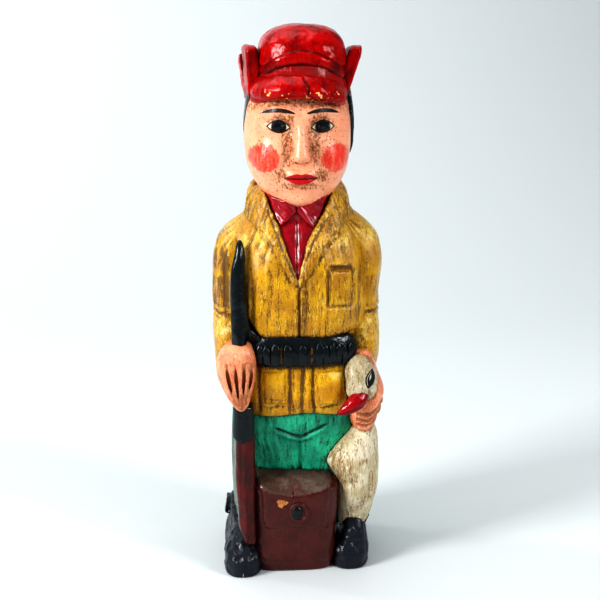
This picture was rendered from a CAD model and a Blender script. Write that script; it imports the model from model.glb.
"""The carved wooden hunter: every CAD node gets its carved and painted surface.

Each piece is sculpted as a distance field, in millimetres about the figure's own upright axis, and is turned
into a closed mesh that stands for one CAD node. Gouge marks and folds are cut into the mesh. The paint, its
stain and its wear are node materials that read the mesh's own "stain" and "worn" attributes.
"""

import math
from itertools import product

import bpy
import numpy as np
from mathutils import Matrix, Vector


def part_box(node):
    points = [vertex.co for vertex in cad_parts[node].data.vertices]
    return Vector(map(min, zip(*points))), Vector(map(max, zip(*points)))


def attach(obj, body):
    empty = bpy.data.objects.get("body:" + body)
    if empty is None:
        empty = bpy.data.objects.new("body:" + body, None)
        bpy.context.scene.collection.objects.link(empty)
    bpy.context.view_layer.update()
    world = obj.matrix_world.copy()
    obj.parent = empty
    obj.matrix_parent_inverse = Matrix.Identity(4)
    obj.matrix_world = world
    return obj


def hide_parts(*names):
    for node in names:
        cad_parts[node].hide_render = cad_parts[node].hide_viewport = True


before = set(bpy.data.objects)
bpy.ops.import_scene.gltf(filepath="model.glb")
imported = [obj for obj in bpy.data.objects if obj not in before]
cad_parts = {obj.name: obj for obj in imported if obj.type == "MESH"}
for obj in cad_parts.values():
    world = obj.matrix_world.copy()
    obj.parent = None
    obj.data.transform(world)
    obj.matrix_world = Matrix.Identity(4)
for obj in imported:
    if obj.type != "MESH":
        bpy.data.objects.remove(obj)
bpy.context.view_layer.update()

MM = 0.001
COARSER = 1.0
FORWARD = (0, -1, 0)


# ---- Where the CAD model is ---------------------------------------------------------------------


def corners(node):
    """A CAD node's lowest and highest corners, in millimetres."""
    low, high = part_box(node)
    return np.array(low) / MM, np.array(high) / MM


AXIS_Y = float(np.mean([corner[1] for corner in corners("cap_base")]))
CAP_FLOOR = corners("cap_base")[0][2]
VISOR_BOTTOM = corners("cap_visor")[0][2]
BAND_BOTTOM, BAND_TOP = (corner[2] for corner in corners("cap_band"))
CROWN_TOP = corners("cap_crown")[1][2]
CROWN_X = float(np.mean([corner[0] for corner in corners("cap_crown")]))
BELT_BOTTOM, BELT_TOP = (corner[2] for corner in corners("belt"))
HEM = corners("jacket_skirt")[0][2]
BAG_TOP = corners("bag_flap")[1][2]
FLAP_BOTTOM = corners("bag_flap")[0][2]
BAG_X = -5
BAG_HALF = 24
BAG_SAG = 5.2
CHIN = corners("head")[0][2] + 16

# ---- Distance fields ----------------------------------------------------------------------------
# A field takes x, y, z in millimetres and gives the distance to its surface, below zero inside.


def smooth_min(a, b, k):
    """The union of two fields, with a fillet about k wide."""
    share = np.clip(0.5 + 0.5 * (b - a) / k, 0, 1)
    return b + (a - b) * share - k * share * (1 - share)


def smooth_max(a, b, k):
    """The intersection of two fields, with a rounding about k wide."""
    return -smooth_min(-a, -b, k)


def ramp(value, start, end):
    """0 at start, 1 at end, smooth between them."""
    t = np.clip((value - start) / (end - start), 0, 1)
    return t * t * (3 - 2 * t)


def follow(t, knots, values):
    """A smooth curve through the values at the knots."""
    knots = np.asarray(knots, float)
    values = np.asarray(values, float)
    slopes = np.gradient(values, knots)
    t = np.clip(t, knots[0], knots[-1])
    i = np.clip(np.searchsorted(knots, t) - 1, 0, len(knots) - 2)
    span = knots[i + 1] - knots[i]
    u = (t - knots[i]) / span
    return (
        values[i] * (1 + 2 * u) * (1 - u) ** 2
        + slopes[i] * span * u * (1 - u) ** 2
        + values[i + 1] * u * u * (3 - 2 * u)
        + slopes[i + 1] * span * u * u * (u - 1)
    )


def tower(x, y, z, levels, power, rounding):
    """A loft through (height, half width, half depth, x, y) levels; power 2 is an ellipse, more squarer."""
    table = np.array(levels, float)
    half_x, half_y, middle_x, middle_y = (follow(z, table[:, 0], table[:, i]) for i in (1, 2, 3, 4))
    u = np.abs(x - middle_x) / half_x
    v = np.abs(y - middle_y) / half_y
    rho = (u**power + v**power) ** (1 / power) + 1e-4
    side = (rho - 1) * np.hypot(x - middle_x, y - middle_y) / rho
    side = np.maximum(side, -np.minimum(half_x, half_y))
    ends = np.maximum(z - table[-1, 0], table[0, 0] - z)
    return smooth_max(side, ends, rounding)


def turned(x, y, z, centre, degrees):
    """Coordinates about a centre, in axes turned about X, then Y, then Z."""
    a, b, c = (math.radians(angle) for angle in degrees)
    about_x = np.array([[1, 0, 0], [0, math.cos(a), -math.sin(a)], [0, math.sin(a), math.cos(a)]])
    about_y = np.array([[math.cos(b), 0, math.sin(b)], [0, 1, 0], [-math.sin(b), 0, math.cos(b)]])
    about_z = np.array([[math.cos(c), -math.sin(c), 0], [math.sin(c), math.cos(c), 0], [0, 0, 1]])
    turn = about_z @ about_y @ about_x
    offset = (x - centre[0], y - centre[1], z - centre[2])
    return [sum(turn[row][column] * offset[row] for row in range(3)) for column in range(3)]


def ball(x, y, z, centre, radii, degrees=(0, 0, 0), power=2.0):
    """An ellipsoid, or with a higher power a rounded block."""
    u, v, w = turned(x, y, z, centre, degrees)
    parts = [np.abs(q / r) for q, r in zip((u, v, w), radii)]
    rho = sum(part**power for part in parts) ** (1 / power) + 1e-4
    reach = np.sqrt(u * u + v * v + w * w) / rho
    return np.maximum((rho - 1) * reach, -min(radii))


def block(x, y, z, centre, half, rounding, degrees):
    """A box with rounded edges."""
    local = turned(x, y, z, centre, degrees)
    past = [np.abs(q) - (h - rounding) for q, h in zip(local, half)]
    outside = np.sqrt(sum(np.maximum(q, 0) ** 2 for q in past))
    inside = np.minimum(np.maximum(np.maximum(past[0], past[1]), past[2]), 0)
    return outside + inside - rounding


def strand(x, y, z, path, halves, outwards=None, steps=3, blend=0.0):
    """A tapering band along a path, with (half width, half thickness) at each point.

    Its thickness points outwards: away from the figure's axis unless a direction is given."""
    points = np.array(path, float)
    halves = np.array(halves, float)
    along = np.concatenate([[0], np.cumsum(np.linalg.norm(np.diff(points, axis=0), axis=1))])
    count = steps * (len(points) - 1) + 1
    t = np.linspace(0, along[-1], count)
    fine = np.stack([follow(t, along, points[:, i]) for i in range(3)], 1)
    sizes = np.stack([follow(t, along, halves[:, i]) for i in range(2)], 1)
    out = fine * (1, 1, 0) if outwards is None else np.tile(outwards, (count, 1))
    field = None
    for i in range(count - 1):
        start, run = fine[i], fine[i + 1] - fine[i]
        length = np.linalg.norm(run)
        direction = run / length
        normal = out[i] - direction * (out[i] @ direction)
        normal = normal / np.linalg.norm(normal)
        across = np.cross(direction, normal)
        dx, dy, dz = x - start[0], y - start[1], z - start[2]
        share = np.clip((dx * run[0] + dy * run[1] + dz * run[2]) / length**2, 0, 1)
        dx, dy, dz = dx - share * run[0], dy - share * run[1], dz - share * run[2]
        wide = sizes[i, 0] + share * (sizes[i + 1, 0] - sizes[i, 0])
        thick = sizes[i, 1] + share * (sizes[i + 1, 1] - sizes[i, 1])
        u = (dx * across[0] + dy * across[1] + dz * across[2]) / wide
        v = (dx * normal[0] + dy * normal[1] + dz * normal[2]) / thick
        w = (dx * direction[0] + dy * direction[1] + dz * direction[2]) / np.minimum(wide, thick)
        rho = np.sqrt(u * u + v * v + w * w) + 1e-4
        piece = (rho - 1) * np.sqrt(dx * dx + dy * dy + dz * dz) / rho
        if field is None:
            field = piece
        else:
            field = smooth_min(field, piece, blend) if blend else np.minimum(field, piece)
    return field


def line_distance(u, v, points):
    """The distance to an open line of points in a plane."""
    nearest = np.full(np.shape(u), 1e9)
    for (au, av), (bu, bv) in zip(points[:-1], points[1:]):
        du, dv = bu - au, bv - av
        share = np.clip(((u - au) * du + (v - av) * dv) / (du * du + dv * dv), 0, 1)
        nearest = np.minimum(nearest, (u - au - share * du) ** 2 + (v - av - share * dv) ** 2)
    return np.sqrt(nearest)


def outline(u, v, points):
    """The signed distance to a polygon in a plane."""
    closed = [*points, points[0]]
    inside = np.zeros(np.shape(u), bool)
    for (au, av), (bu, bv) in zip(closed[:-1], closed[1:]):
        if av != bv:
            inside ^= ((av > v) != (bv > v)) & (u < (bu - au) * (v - av) / (bv - av) + au)
    return np.where(inside, -1, 1) * line_distance(u, v, closed)


def bump(distance, width):
    """1 on a line, falling to 0 a little over its width away."""
    return np.exp(-((distance / width) ** 2))


def scored(u, v, width, *points):
    """1 along an open line of points in a plane, falling to 0 a little over its width away."""
    return bump(line_distance(u, v, points), width)


# ---- Noise --------------------------------------------------------------------------------------


def lattice(i, j, k, seed):
    """A fixed number from -1 to 1 for each point of a whole-number grid."""
    word = (i * 374761393 + j * 668265263 + k * 1103515245 + seed * 1274126177) & 0xFFFFFFFF
    word = ((word ^ (word >> 13)) * 1274126177) & 0xFFFFFFFF
    word = ((word ^ (word >> 15)) * 668265263) & 0xFFFFFFFF
    return ((word >> 8) & 0xFFFF) / 32767.5 - 1


def noise(x, y, z, size, seed):
    """Smooth noise from about -1 to 1; size is one length or three, in millimetres."""
    size = np.broadcast_to(size, 3)
    cells, parts = [], []
    for q, s in zip((x, y, z), size):
        q = np.asarray(q, float) / s
        whole = np.floor(q).astype(np.int64)
        part = q - whole
        cells.append(whole)
        parts.append(part * part * part * (part * (part * 6 - 15) + 10))
    total = 0
    for corner in product((0, 1), repeat=3):
        weight = 1
        for part, far in zip(parts, corner):
            weight = weight * (part if far else 1 - part)
        total = total + weight * lattice(*(cell + far for cell, far in zip(cells, corner)), seed)
    return total


# The radius at which turns about the figure's axis are measured as widths.
GIRTH = 45


def gouges(x, y, z, pitch, length, seed):
    """Long upright gouge cuts, -1 in their beds and up to 1 on the ridges between them."""
    around = np.arctan2(x, -y) * GIRTH + 2.2 * noise(x, y, z, 17, seed + 1)
    outwards = np.hypot(x, y)
    first = noise(around, outwards, z, (pitch, pitch * 6, length), seed)
    second = noise(around, outwards, z, (pitch * 0.55, pitch * 5, length * 0.6), seed + 2)
    ridges = 1 - 2 * np.abs(first)
    return 0.6 * ridges + 0.4 * second


def beds(cut):
    """How deep a place lies in its gouge cut's bed, from 0 to 1."""
    return np.clip(-cut, 0, 1)


# ---- From a field to a mesh ---------------------------------------------------------------------

# A block's cells along each axis, how many blocks away a surface still counts as near, and the value that
# closes a mesh at the grid's sides.
BLOCK = 4
BLOCK_REACH = 1.9
OUTSIDE = 0.1
# All but the last and all but the first along an axis.
SHIFTS = (slice(None, -1), slice(1, None))


def in_blocks(grid):
    """A grid of blocks with every block's value repeated over its own cells."""
    for axis in range(3):
        grid = np.repeat(grid, BLOCK, axis=axis)
    return grid


def sampled(field, low, high, step):
    """The field on a grid. Only the blocks near the surface are worked out finely."""
    counts = [int(math.ceil((h - l) / (step * BLOCK))) for l, h in zip(low, high)]
    rough = [l + step * BLOCK * np.arange(n + 1) for l, n in zip(low, counts)]
    values = field(*np.meshgrid(*rough, indexing="ij"))
    near = np.abs(values) < step * BLOCK * BLOCK_REACH
    active = np.zeros(counts, bool)
    for shift in product(SHIFTS, repeat=3):
        active |= near[shift]
    shape = [n * BLOCK + 1 for n in counts]
    fine = in_blocks(values)[: shape[0], : shape[1], : shape[2]].copy()
    wanted = np.zeros(shape, bool)
    spread = in_blocks(active)
    for shift in product(SHIFTS, repeat=3):
        wanted[shift] |= spread
    i, j, k = np.nonzero(wanted)
    fine[i, j, k] = field(low[0] + step * i, low[1] + step * j, low[2] + step * k)
    # The grid's own sides are held outside, so that the mesh is always closed.
    for axis, end in product(range(3), (0, -1)):
        layers = np.moveaxis(fine, axis, 0)
        layers[end] = np.maximum(layers[end], OUTSIDE)
    return fine


def netted(values, low, step):
    """Surface nets: one point in each cell that the surface crosses, one quad across each crossed edge."""
    cells = [n - 1 for n in values.shape]
    total = np.zeros(cells + [3])
    count = np.zeros(cells)
    edges = []
    for axis in range(3):
        first = [slice(None)] * 3
        second = [slice(None)] * 3
        first[axis], second[axis] = SHIFTS
        before, after = values[tuple(first)], values[tuple(second)]
        crossed = (before < 0) != (after < 0)
        at = np.stack(np.nonzero(crossed), 1)
        before, after = before[crossed], after[crossed]
        spot = at.astype(float)
        spot[:, axis] += before / (before - after)
        others = [q for q in range(3) if q != axis]
        for back in product((0, 1), repeat=2):
            cell = at.copy()
            cell[:, others] -= back
            good = np.all((cell >= 0) & (cell < cells), axis=1)
            flat = np.ravel_multi_index(cell[good].T, cells)
            np.add.at(count.reshape(-1), flat, 1)
            np.add.at(total.reshape(-1, 3), flat, spot[good])
        edges.append((axis, others, at, before < 0))
    used = count > 0
    index = np.full(cells, -1)
    index[used] = np.arange(used.sum())
    points = total[used] / count[used][:, None] * step + np.array(low)
    quads = []
    for axis, others, at, starts_inside in edges:
        good = np.all([(at[:, q] > 0) & (at[:, q] < cells[q]) for q in others], axis=0)
        at, starts_inside = at[good], starts_inside[good]
        ring = []
        for back in ((0, 0), (1, 0), (1, 1), (0, 1)):
            cell = at.copy()
            cell[:, others] -= back
            ring.append(index[tuple(cell.T)])
        quad = np.stack(ring, 1)
        flip = starts_inside if axis != 1 else ~starts_inside
        quad[~flip] = quad[~flip][:, ::-1]
        quads.append(quad)
    return points, np.concatenate(quads)


SLOPE_REACH = 0.25


def slopes(field, points):
    """The field's gradient at the points, from its values a little to each side."""
    steps = SLOPE_REACH * np.eye(3)
    rises = [field(*(points + step).T) - field(*(points - step).T) for step in steps]
    return np.stack(rises, 1) / (2 * SLOPE_REACH)


def neighbours(quads, count):
    """The mesh's edges and how many meet at each point."""
    pairs = np.concatenate([quads[:, [i, (i + 1) % 4]] for i in range(4)])
    degree = np.bincount(pairs.reshape(-1), minlength=count)
    return pairs, degree


def averaged(values, pairs, degree):
    """Each point's value averaged over the points around it."""
    result = np.zeros(values.shape)
    for q in range(values.shape[1]):
        column = values[:, q]
        total = np.bincount(pairs[:, 0], column[pairs[:, 1]], len(column))
        total += np.bincount(pairs[:, 1], column[pairs[:, 0]], len(column))
        result[:, q] = total / degree
    return result


# How far a piece may reach past its CAD box.
MARGIN = 7
# The flattest slope that a point is moved by, and its longest move in grid steps.
LEAST_SLOPE = 0.2
LONGEST_MOVE = 0.6
# The stain along a joint between pieces, in hollows, and the wear on raised edges.
JOINT_STAIN = 0.9
JOINT_WIDTH = 1.5
HOLLOW_STAIN = 4
HOLLOW_MOST = 0.8
EDGE_WEAR = 7
EDGE_START = 0.25
TO_CAD = np.array((0, AXIS_Y, 0))
FIELDS = {}


def settled(field, points, step):
    """The points moved on to the field's surface, in short moves."""
    for _ in range(2):
        gradient = slopes(field, points)
        size = np.maximum((gradient**2).sum(1), LEAST_SLOPE)
        move = (field(*points.T) / size)[:, None] * gradient
        far = np.maximum(np.linalg.norm(move, axis=1) / (LONGEST_MOVE * step), 1)
        points = points - move / far[:, None]
    return points


def carve(node, field, step, material, detail=None, beside=(), wear=0.0):
    """Sculpts one CAD node's visual piece.

    detail(x, y, z, normal) gives (height, stain) or (height, stain, worn) at each point. beside names pieces
    whose joint with this one holds stain, and wear is how much its raised edges are worn."""
    FIELDS[node] = field
    low, high = corners(node)
    low = low - TO_CAD - MARGIN
    high = high - TO_CAD + MARGIN
    step = step * COARSER
    points, quads = netted(sampled(field, low, high, step), low, step)
    points = settled(field, points, step)
    gradient = slopes(field, points)
    normal = gradient / np.maximum(np.linalg.norm(gradient, axis=1), 1e-6)[:, None]
    stain = worn = np.zeros(len(points))
    if detail is not None:
        height, stain, *more = detail(*points.T, normal)
        points = points + normal * height[:, None]
        worn = sum(more, worn)
    for other in beside:
        gap = np.abs(FIELDS[other](*points.T))
        stain = np.maximum(stain, JOINT_STAIN * bump(gap, JOINT_WIDTH))
    pairs, degree = neighbours(quads, len(points))
    bent = averaged(points, pairs, degree) - points
    hollow = (bent * normal).sum(1) / step
    for _ in range(2):
        hollow = averaged(hollow[:, None], pairs, degree)[:, 0]
    stain = np.clip(np.maximum(stain, 0) + np.clip(hollow * HOLLOW_STAIN, 0, HOLLOW_MOST), 0, 1)
    worn = np.clip(worn + wear * np.clip(-hollow * EDGE_WEAR - EDGE_START, 0, 1), 0, 1)
    mesh = bpy.data.meshes.new(node + "_carved")
    mesh.vertices.add(len(points))
    mesh.vertices.foreach_set("co", ((points + TO_CAD) * MM).astype(np.float32).reshape(-1))
    mesh.loops.add(quads.size)
    mesh.loops.foreach_set("vertex_index", quads.astype(np.int32).reshape(-1))
    mesh.polygons.add(len(quads))
    mesh.polygons.foreach_set("loop_start", np.arange(0, quads.size, 4, dtype=np.int32))
    mesh.update(calc_edges=True)
    mesh.validate()
    mesh.polygons.foreach_set("use_smooth", np.ones(len(mesh.polygons), bool))
    for name, numbers in (("stain", stain), ("worn", worn)):
        attribute = mesh.attributes.new(name, "FLOAT", "POINT")
        attribute.data.foreach_set("value", numbers.astype(np.float32))
    piece = bpy.data.objects.new(node + "_carved", mesh)
    bpy.context.scene.collection.objects.link(piece)
    mesh.materials.append(material)
    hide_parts(node)
    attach(piece, "root")


# ---- Paint --------------------------------------------------------------------------------------


class Wire:
    """A value on its way through a material; numbers take plain arithmetic."""

    def __init__(self, tree, socket):
        self.tree = tree
        self.socket = socket

    def math(self, operation, *others):
        node = self.tree.nodes.new("ShaderNodeMath")
        node.operation = operation
        for socket, value in zip(node.inputs, (self,) + others):
            feed(self.tree, socket, value)
        return Wire(self.tree, node.outputs[0])

    def __add__(self, other):
        return self.math("ADD", other)

    def __sub__(self, other):
        return self.math("SUBTRACT", other)

    def __rsub__(self, other):
        return self * -1 + other

    def __mul__(self, other):
        return self.math("MULTIPLY", other)

    __radd__ = __add__
    __rmul__ = __mul__

    def __truediv__(self, other):
        return self.math("DIVIDE", other)

    def __pow__(self, other):
        return self.math("POWER", other)

    def most(self, other):
        return self.math("MAXIMUM", other)

    def least(self, other):
        return self.math("MINIMUM", other)

    def size(self):
        return self.math("ABSOLUTE")

    def ramp(self, start, end):
        """0 at start, 1 at end, smooth between them; start may be the larger."""
        node = self.tree.nodes.new("ShaderNodeMapRange")
        node.interpolation_type = "SMOOTHSTEP"
        if start > end:
            start, end = end, start
            node.inputs["To Min"].default_value = 1
            node.inputs["To Max"].default_value = 0
        node.inputs["From Min"].default_value = start
        node.inputs["From Max"].default_value = end
        feed(self.tree, node.inputs["Value"], self)
        return Wire(self.tree, node.outputs["Result"])


def feed(tree, socket, value):
    """Sets a socket to a number, a colour or a wire."""
    if isinstance(value, Wire):
        tree.links.new(value.socket, socket)
    else:
        socket.default_value = value


class Paint:
    """One material: colours laid over each other on carved wood."""

    def __init__(self, name):
        self.material = bpy.data.materials.new(name)
        self.material.use_nodes = True
        self.tree = self.material.node_tree
        self.shader = self.tree.nodes["Principled BSDF"]
        self.place = self.wire("TexCoord", "Object")
        self.place = self.placed((1 / MM,) * 3, (0, -AXIS_Y, 0))
        split = self.node("SeparateXYZ", Vector=self.place)
        self.x, self.y, self.z = (Wire(self.tree, output) for output in split.outputs)

    def node(self, kind, **inputs):
        """A new node of a kind, its inputs set to numbers, triples or wires."""
        made = self.tree.nodes.new("ShaderNode" + kind)
        for name, value in inputs.items():
            feed(self.tree, made.inputs[name], value)
        return made

    def wire(self, kind, output, **inputs):
        """What comes out of a new node of a kind."""
        return Wire(self.tree, self.node(kind, **inputs).outputs[output])

    def placed(self, scale, shift):
        """The places on the piece, scaled and then shifted."""
        return self.wire("Mapping", "Vector", Vector=self.place, Scale=scale, Location=shift)

    def attribute(self, name):
        node = self.node("Attribute")
        node.attribute_name = name
        return Wire(self.tree, node.outputs["Fac"])

    def noise(self, size, seed, detail, stretch=(1, 1, 1), rough=0.5):
        """Noise from 0 to 1 with blotches about size millimetres wide, longer where stretched."""
        place = self.placed([1 / (size * s) for s in stretch], (seed * 7.3, seed * 3.1, seed * 5.7))
        return self.wire("TexNoise", "Fac", Vector=place, Scale=1, Detail=detail, Roughness=rough)

    def specks(self, size, seed, share):
        """1 in round specks, each in its own cell about size millimetres wide, of which they fill a share."""
        place = self.placed((1 / size,) * 3, (seed * 4.7, seed * 9.1, seed * 2.3))
        middle = self.wire("TexVoronoi", "Distance", Vector=place, Scale=1, Randomness=1)
        return middle.ramp(share, share * 0.6)

    def mixed(self, share, under, over):
        """The colour over laid on under, by a share from 0 to 1."""
        node = self.node("Mix")
        node.data_type = "RGBA"
        node.clamp_factor = True
        feed(self.tree, node.inputs["Factor"], share)
        for name, colour in (("A", under), ("B", over)):
            feed(self.tree, node.inputs[name], colour if isinstance(colour, Wire) else (*colour, 1))
        return Wire(self.tree, node.outputs["Result"])

    def finish(self, colour, roughness, height, coat, coat_roughness, specular):
        """Joins the colour, the roughness, the relief in millimetres and the clear coat to the shader."""
        feed(self.tree, self.shader.inputs["Base Color"], colour)
        feed(self.tree, self.shader.inputs["Roughness"], roughness)
        self.shader.inputs["Coat Weight"].default_value = coat
        self.shader.inputs["Coat Roughness"].default_value = coat_roughness
        self.shader.inputs["Specular IOR Level"].default_value = specular
        relief = self.wire("Bump", "Normal", Strength=1, Distance=MM, Height=height)
        feed(self.tree, self.shader.inputs["Normal"], relief)
        feed(self.tree, self.shader.inputs["Coat Normal"], relief)
        return self.material


def darker(colour, share):
    """A colour at a share of its brightness; a share over 1 makes it paler."""
    return tuple(part * share for part in colour)


UMBER = (0.105, 0.048, 0.014)
BARE_WOOD = (0.55, 0.33, 0.13)
GRIME = (0.045, 0.024, 0.012)

# How high a place's wear and its noise come together before the paint chips off, in the two kinds of paint.
STAINED_CHIPS = 1.72
GLOSS_CHIPS = 1.17


def stained_paint(
    name, bright, deep, stain_colour, seed, speckle, coat, pale, pale_share,
    streaks=1.0, marks=None, grain=1.0,
):
    """Satin paint over gouge marks, rubbed with a brown stain that stays in the cuts.

    bright and deep lie in clouds, pale is where the paint is rubbed thin, streaks and speckle say how much
    stain shows, grain how long its marks run, and marks(paint, colour) adds what only one piece has."""
    paint = Paint(name)
    worn = paint.attribute("worn")
    cloud = paint.noise(14, seed, 3)
    streak = paint.noise(1.1, seed + 1, 5, (1, 1, 7 * grain), 0.75)
    broad = paint.noise(3.6, seed + 2, 4, (1, 1, 6 * grain), 0.6)
    fine = paint.noise(0.7, seed + 3, 4, (1, 1, 2.2 * grain), 0.75)
    colour = paint.mixed(cloud.ramp(0.38, 0.62), bright, deep)

    scratches = paint.noise(0.9, seed + 10, 4, (1, 1, 4 * grain), 0.7)
    patches = paint.noise(4, seed + 9, 4, (1, 1, 2.2), 0.7)
    rubbed = (worn * 0.3 + patches * 0.5 + scratches * 0.6).ramp(0.59, 0.72)
    colour = paint.mixed(rubbed * pale_share, colour, pale)

    body = (streak - 0.5) * 1.3 + (broad - 0.5) * 0.6 + (fine - 0.5) * 1.0
    soak = (body * streaks + paint.attribute("stain") * 0.38).ramp(0.07, 0.24)
    colour = paint.mixed(soak * 0.85, colour, stain_colour)
    flecks = paint.noise(0.62, seed + 7, 5, (1, 1, 3.2 * grain), 0.75).ramp(0.54, 0.64)
    flecks = flecks * paint.noise(7, seed + 8, 3).ramp(0.36, 0.62)
    colour = paint.mixed(flecks * speckle, colour, darker(stain_colour, 0.75))
    dots = paint.specks(3.2, seed + 4, 0.24) * paint.noise(9, seed + 5, 2).ramp(0.50, 0.66)
    colour = paint.mixed(dots * speckle * 0.7, colour, GRIME)

    chips = worn + paint.noise(1.6, seed + 6, 4, (1, 1, 2)) * 0.9
    chips = chips.ramp(STAINED_CHIPS, STAINED_CHIPS + 0.08)
    colour = paint.mixed(chips, colour, BARE_WOOD)
    if marks is not None:
        colour = marks(paint, colour)
    roughness = 0.30 + (cloud - 0.5) * 0.2 + soak * 0.2 + chips * 0.25 + (fine - 0.5) * 0.2
    height = body * 0.26 - soak * 0.06 + fine * 0.04 - chips * 0.08 - dots * 0.10 - flecks * 0.06
    return paint.finish(colour, roughness, height, coat, 0.07, 0.3)


def gloss_paint(
    name, bright, deep, seed, coat, worn_colour=BARE_WOOD, gloss=0.24, specular=0.2,
    dust=0.0, dust_colour=None, dust_where=None,
):
    """Thick enamel: brush ridges under a hard gloss, dull in the hollows, chipped where it is worn.

    dust says how much dust or fading lies on it, all over or where dust_where(paint) is 1."""
    paint = Paint(name)
    cloud = paint.noise(11, seed, 3)
    brush = paint.noise(1.6, seed + 1, 4, (1, 1, 4), 0.65)
    fine = paint.noise(0.6, seed + 2, 4, (1, 1, 1), 0.65)
    colour = paint.mixed((cloud * 0.6 + brush * 0.5).ramp(0.42, 0.72), bright, deep)
    hollows = (paint.attribute("stain") + (fine - 0.5) * 0.5).ramp(0.25, 0.95)
    colour = paint.mixed(hollows * 0.75, colour, darker(deep, 0.28))
    roughness = gloss + (cloud - 0.5) * 0.22 + (fine - 0.5) * 0.2 + hollows * 0.12
    if dust:
        fallen = (cloud * 0.5 + fine * 0.6 + (brush - 0.5) * 0.5).ramp(0.40, 0.70) * dust
        if dust_where is not None:
            fallen = (fallen * 0.7 + 0.3) * dust_where(paint)
        colour = paint.mixed(fallen * (1 - hollows), colour, dust_colour)
        roughness = roughness + fallen * 0.35
    chips = paint.attribute("worn") + paint.noise(1.4, seed + 3, 4) * 0.9
    chips = chips.ramp(GLOSS_CHIPS, GLOSS_CHIPS + 0.07)
    wood = paint.noise(1.5, seed + 4, 3).ramp(0.4, 0.6)
    colour = paint.mixed(chips, colour, paint.mixed(wood, worn_colour, darker(worn_colour, 1.5)))
    roughness = roughness + chips * 0.3
    height = brush * 0.20 + fine * 0.05 + cloud * 1.2 - chips * 0.15
    return paint.finish(colour, roughness, height, coat, 0.06, specular)


SKIN_LIGHT = (0.84, 0.415, 0.265)
SKIN_DEEP = (0.78, 0.35, 0.215)
SKIN_STAIN = (0.28, 0.105, 0.030)

# The goose's eye: its middle, half its length, half its width, and the cosine and sine of its lean.
GOOSE_EYE = (49.3, 151.0)
EYE_LONG = 6.7
EYE_WIDE = 3.0
LEAN_COSINE = 0.974
LEAN_SINE = 0.225


def goose_eye_axes(x, z):
    """Places across and along the goose's eye, from numbers or from wires."""
    right, up = x - GOOSE_EYE[0], z - GOOSE_EYE[1]
    return right * LEAN_COSINE - up * LEAN_SINE, right * LEAN_SINE + up * LEAN_COSINE


def goose_eye(paint, colour):
    """The goose's painted eye: a black almond in a pale ring and a black line, with a pale glint."""
    across, along = goose_eye_axes(paint.x, paint.z)
    reach = across.size() + (along / EYE_LONG) ** 2 * EYE_WIDE - EYE_WIDE
    front = (paint.y * -1).ramp(27, 31)
    colour = paint.mixed(reach.ramp(0.75, 0.5) * front, colour, (0.010, 0.010, 0.011))
    ring = reach.ramp(-0.45, -0.6) * reach.ramp(-1.0, -0.85) * (across + 0.6).ramp(0.6, -0.6)
    colour = paint.mixed(ring * front, colour, (0.66, 0.60, 0.44))
    glint = ((across + 0.2).size() + (along - 1.4).size() * 0.28).ramp(0.95, 0.6)
    return paint.mixed(glint * front * 0.85, colour, (0.62, 0.60, 0.55))


def dusty_side(paint, colour):
    """The dulled, greyed side of the trousers behind the rifle's stock."""
    ragged = (paint.noise(6, 431, 4) - 0.5) * 30
    share = (paint.x * -1 + ragged * 0.1).ramp(45, 48) * (paint.z + ragged).ramp(106, 84)
    return paint.mixed(share * 0.8, colour, (0.15, 0.135, 0.13))


def faded_edge(paint):
    """Where the neck flap has faded: towards its front edges."""
    return (paint.y + (paint.noise(4, 435, 3) - 0.5) * 12).ramp(38, 24)


def lid_dust(paint):
    """The dust on the bag's top, down to its worn front edge."""
    across = (paint.x - BAG_X) / BAG_HALF
    ragged = (paint.noise(2.5, 433, 4) - 0.5) * 5
    edge = paint.z - (BAG_TOP - 8.2) - across * across * BAG_SAG + ragged
    return edge.ramp(-0.6, 1.2)


STAIN_BROWN = (0.105, 0.042, 0.002)
YELLOW = stained_paint(
    "jacket_yellow", (0.61, 0.345, 0.001), (0.47, 0.235, 0.001), STAIN_BROWN, 11,
    streaks=1.15, speckle=0.85, coat=0.95, pale=(0.80, 0.62, 0.18), pale_share=0.75,
)
SKIRT_YELLOW = stained_paint(
    "skirt_yellow", (0.70, 0.40, 0.001), (0.54, 0.27, 0.001), STAIN_BROWN, 17,
    streaks=0.9, speckle=0.7, coat=0.9, pale=(0.88, 0.66, 0.20), pale_share=0.75,
)
GREEN = stained_paint(
    "trouser_green", (0.032, 0.48, 0.29), (0.014, 0.31, 0.20), (0.005, 0.05, 0.03), 23,
    speckle=0.6, coat=0.5, pale=(0.03, 0.50, 0.30), pale_share=0.8, marks=dusty_side,
)
GOOSE_WEAR = dict(stain_colour=(0.23, 0.125, 0.038), coat=0.25, pale=(0.84, 0.81, 0.70), pale_share=0.85)
CREAM = stained_paint(
    "goose_cream", (0.66, 0.60, 0.455), (0.52, 0.44, 0.29), seed=37,
    streaks=1.15, speckle=0.5, grain=3, **GOOSE_WEAR,
)
CREAM_HEAD = stained_paint(
    "goose_cream_head", (0.56, 0.51, 0.375), (0.42, 0.36, 0.235), seed=39,
    streaks=1.2, speckle=0.8, marks=goose_eye, **GOOSE_WEAR,
)
SKIN = stained_paint(
    "skin", (0.80, 0.35, 0.20), (0.70, 0.24, 0.13), (0.32, 0.12, 0.036), 41,
    streaks=1.1, speckle=0.85, coat=0.8, pale=(0.90, 0.58, 0.42), pale_share=0.75,
)
CAP_RED = gloss_paint(
    "cap_red", (0.44, 0.0005, 0.0014), (0.18, 0.0005, 0.0012), 53,
    coat=0.45, worn_colour=(0.60, 0.38, 0.17), gloss=0.26, specular=0.1,
)
CAP_DUSTY = gloss_paint(
    "cap_dusty", (0.35, 0.001, 0.002), (0.16, 0.001, 0.002), 57,
    coat=0.4, dust=0.35, dust_colour=(0.40, 0.10, 0.09), gloss=0.28, specular=0.1,
)
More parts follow.
